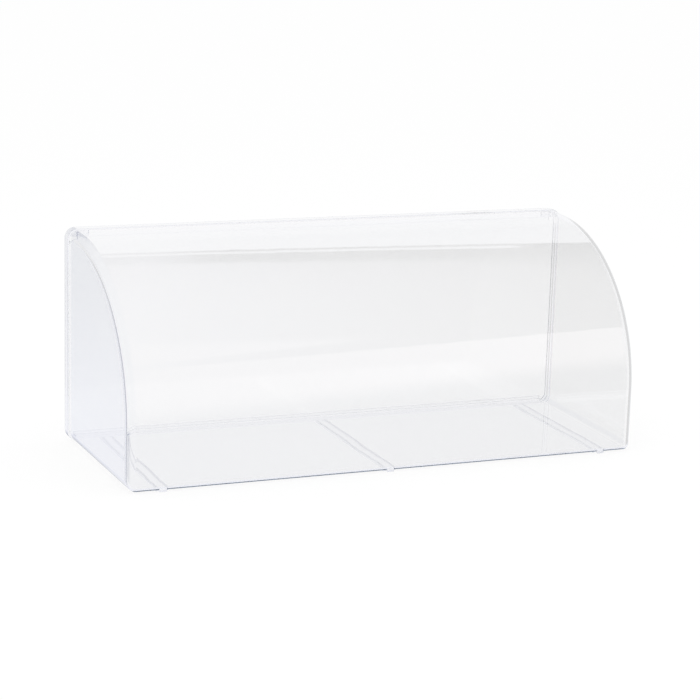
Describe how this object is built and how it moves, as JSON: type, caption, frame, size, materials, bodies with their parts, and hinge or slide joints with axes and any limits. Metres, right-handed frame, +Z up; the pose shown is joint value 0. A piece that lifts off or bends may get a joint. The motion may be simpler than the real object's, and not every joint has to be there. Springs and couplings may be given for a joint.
{
  "type": "counter display case",
  "caption": "Clear moulded counter display case with a curved front, closed ends, a stepped rear rim and a top-hung flap door, standing on clear strips.",
  "frame": {"origin": "middle of the footprint, on the surface that the case stands on", "axes": "+X to the right as seen from the front, along the length; +Y to the rear, where the flap door is; +Z up"},
  "size_m": [0.572, 0.212, 0.2284],
  "materials": {
    "case_plastic": "clear polished moulded plastic",
    "door_plastic": "clear polished moulded plastic",
    "hinge_plastic": "clear moulded plastic",
    "strip_rubber": "clear soft strip, slightly dull"
  },
  "bodies": {
    "case": {"case_shell": "case_plastic", "hinge_eye_left": "hinge_plastic", "hinge_eye_right": "hinge_plastic", "hinge_pin_left": "hinge_plastic", "hinge_pin_right": "hinge_plastic", "foot_strip_left": "strip_rubber", "foot_strip_middle": "strip_rubber", "foot_strip_right": "strip_rubber"},
    "door": {"rear_door": "door_plastic"}
  },
  "joints": [
    {"name": "door_hinge", "type": "hinge", "parent": "case", "child": "door", "pos_m": [0, 0.0971, 0.22184], "axis": [1, 0, 0], "range_deg": [0, 90]}
  ]
}
